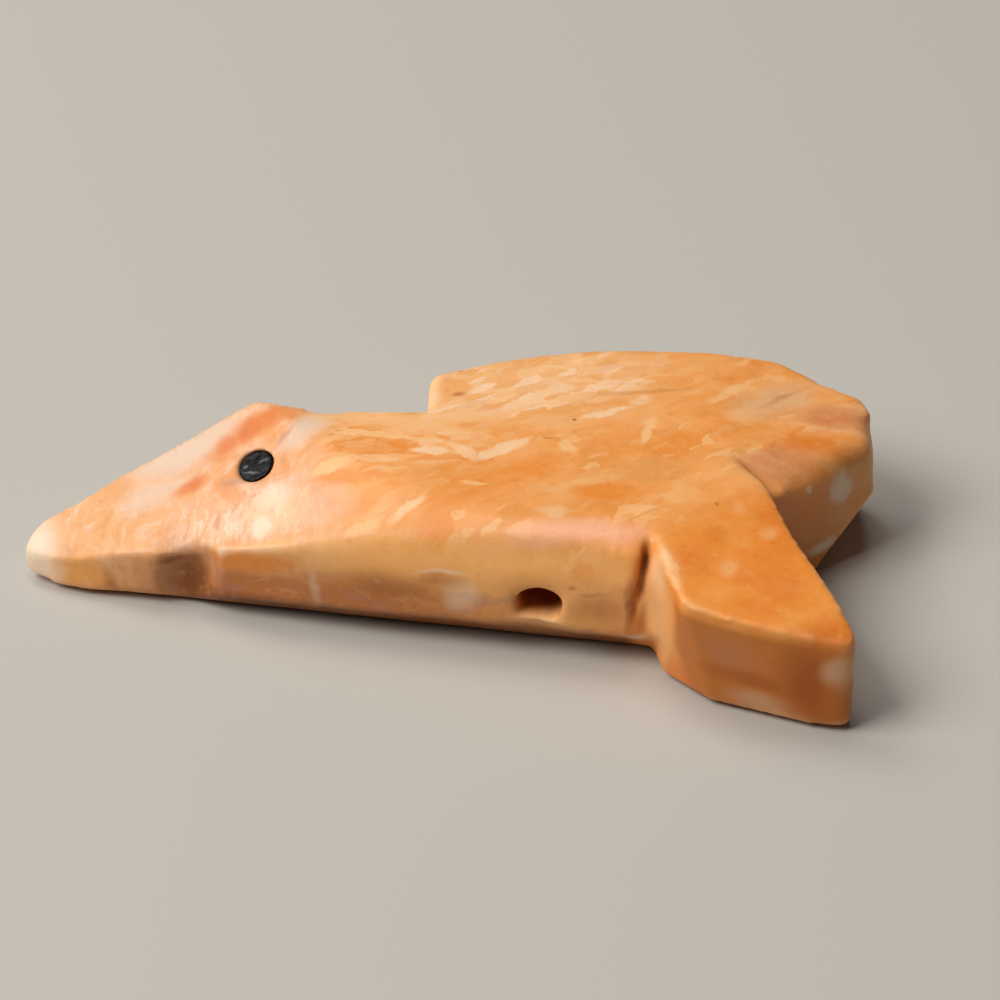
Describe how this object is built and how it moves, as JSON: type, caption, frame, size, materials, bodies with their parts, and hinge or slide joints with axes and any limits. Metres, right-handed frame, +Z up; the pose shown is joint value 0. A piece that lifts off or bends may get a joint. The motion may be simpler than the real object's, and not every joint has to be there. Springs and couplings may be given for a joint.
{
  "type": "carved bird fetish bead",
  "caption": "Small flat bird carved in profile from mottled orange stone, with inlaid black eyes and a string bore through the body; it lies on its side.",
  "frame": {"origin": "under the middle of the bird's bounding box, on the surface that its right side lies on", "axes": "+X from the beak to the tail, +Y from the belly to the back, +Z up out of the bird's left side"},
  "size_m": [0.0252, 0.0128, 0.0042],
  "materials": {
    "stone": "mottled orange and cream, polished to a waxy gloss",
    "jet": "black, ground level with the head and polished"
  },
  "bodies": {
    "root": {"bird_body": "stone", "left_eye_inlay": "jet", "right_eye_inlay": "jet"}
  },
  "joints": []
}
